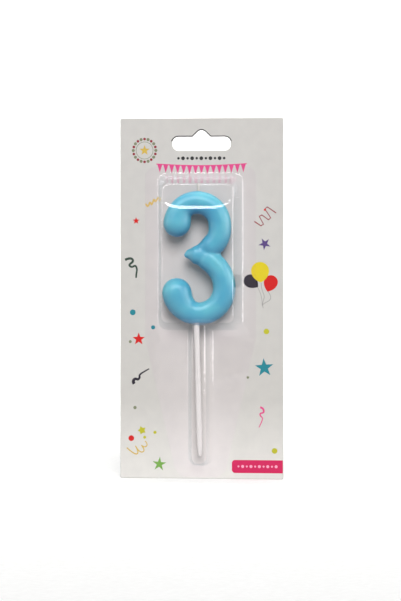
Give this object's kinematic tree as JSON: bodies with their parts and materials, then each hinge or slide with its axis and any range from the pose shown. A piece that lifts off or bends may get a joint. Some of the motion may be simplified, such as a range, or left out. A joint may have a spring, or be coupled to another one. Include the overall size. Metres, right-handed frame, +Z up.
{
  "type": "numeral birthday candle in a blister pack",
  "caption": "Rounded wax numeral candle with a wick and a plastic pick, held under a clear formed blister on a printed hang card.",
  "frame": {"origin": "top of the hang slot's arch on the card's front face, where the display peg bears", "axes": "+Z up along the card towards its hang slot, +X to the right as seen from the front, +Y from the front into the card's back; the blister faces -Y"},
  "size_m": [0.082, 0.0154, 0.1802],
  "materials": {
    "board": "coated white paperboard, printed",
    "sheet": "clear thermoformed sheet, glossy",
    "wax": "moulded paraffin wax, satin",
    "wick": "braided cotton, waxed",
    "pick": "moulded white polypropylene, satin"
  },
  "bodies": {
    "card": {"backing_card": "board"},
    "blister": {"blister_shell": "sheet"},
    "candle": {"wax_numeral": "wax", "wick": "wick", "pick": "pick"}
  },
  "joints": [
    {"name": "blister_peel", "type": "hinge", "parent": "card", "child": "blister", "pos_m": [0, -0.00035, -0.0183], "axis": [-1, 0, 0], "range_deg": [0, 100]},
    {"name": "candle_lift", "type": "slide", "parent": "card", "child": "candle", "axis": [0, -1, 0], "range_m": [0, 0.0265]}
  ],
  "couplings": [
    {"joint": "candle_lift", "follows": "blister_peel", "m_per_rad": 0.015}
  ]
}
